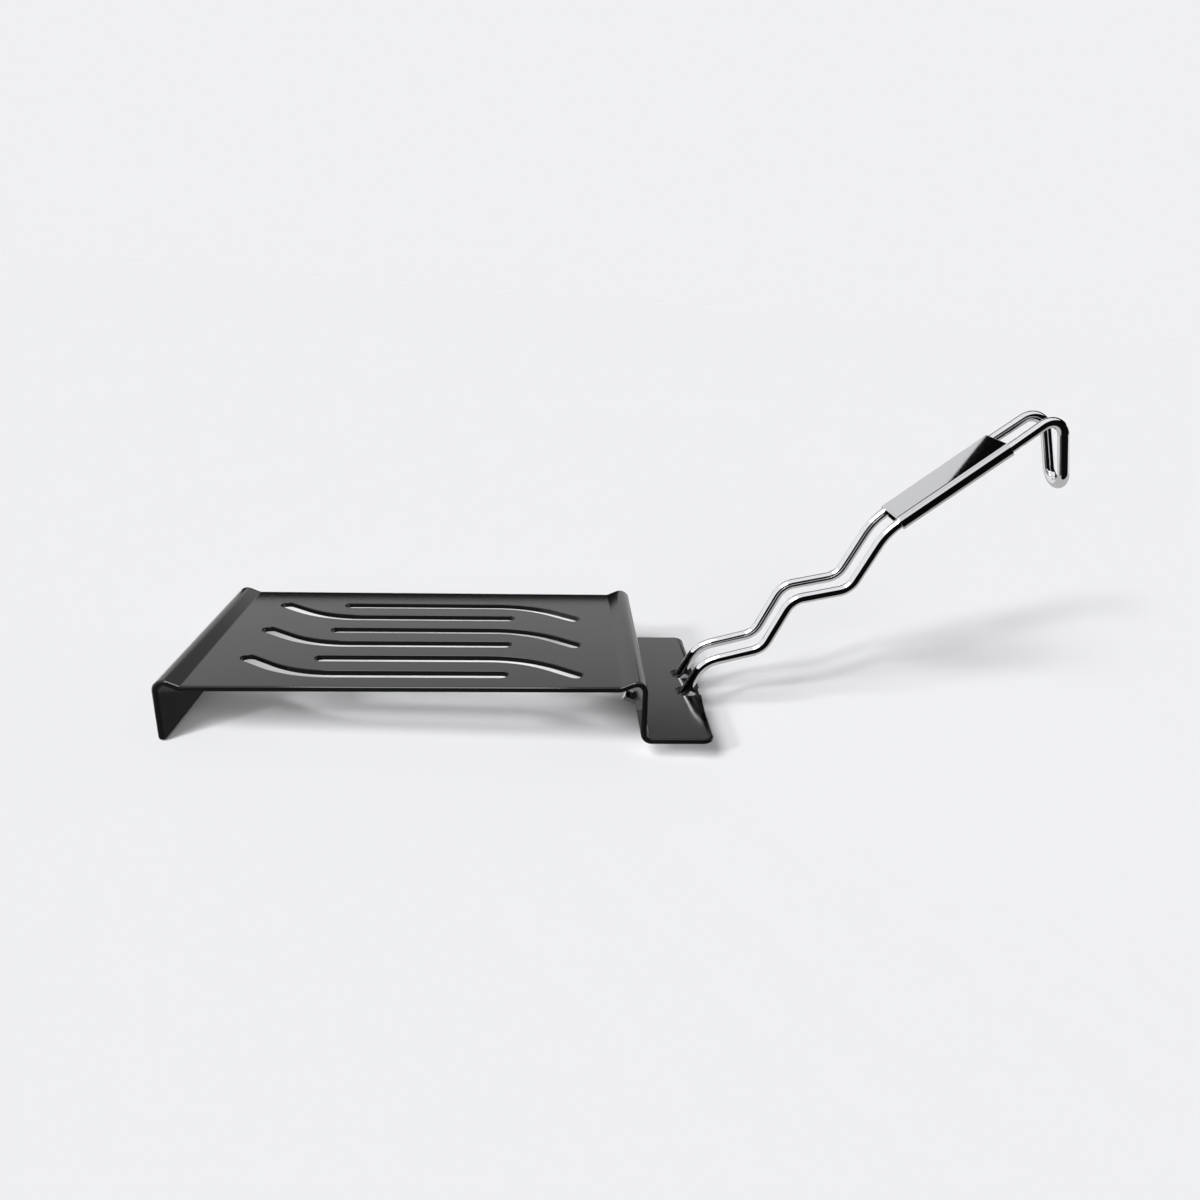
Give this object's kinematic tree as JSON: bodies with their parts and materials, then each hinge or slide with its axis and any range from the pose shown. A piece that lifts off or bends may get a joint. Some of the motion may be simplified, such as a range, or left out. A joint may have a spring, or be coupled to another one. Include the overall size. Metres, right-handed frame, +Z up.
{
  "type": "sizzling plate",
  "caption": "Slotted griddle plate folded from one sheet, with a leg and a ledge, carried by a bent double-wire handle that hooks through the ledge and tilts.",
  "frame": {"origin": "centre of the bounding box at the level of the surface it stands on, with the handle seated at rest", "axes": "+X from the leg to the handle, +Y from the front edge to the rear edge, +Z up"},
  "size_m": [0.4758, 0.14, 0.1853],
  "materials": {
    "black_sheet": "smooth dark glossy coat on steel, mirror-like at a low angle",
    "bright_wire": "polished",
    "bright_sleeve": "polished"
  },
  "bodies": {
    "plate": {"griddle_plate": "black_sheet"},
    "handle": {"handle_wire": "bright_wire", "grip_sleeve": "bright_sleeve"}
  },
  "joints": [
    {"name": "handle_tilt", "type": "hinge", "parent": "plate", "child": "handle", "pos_m": [0.02679, 0, 0.013], "axis": [0, -1, 0], "range_deg": [0, 70]}
  ]
}
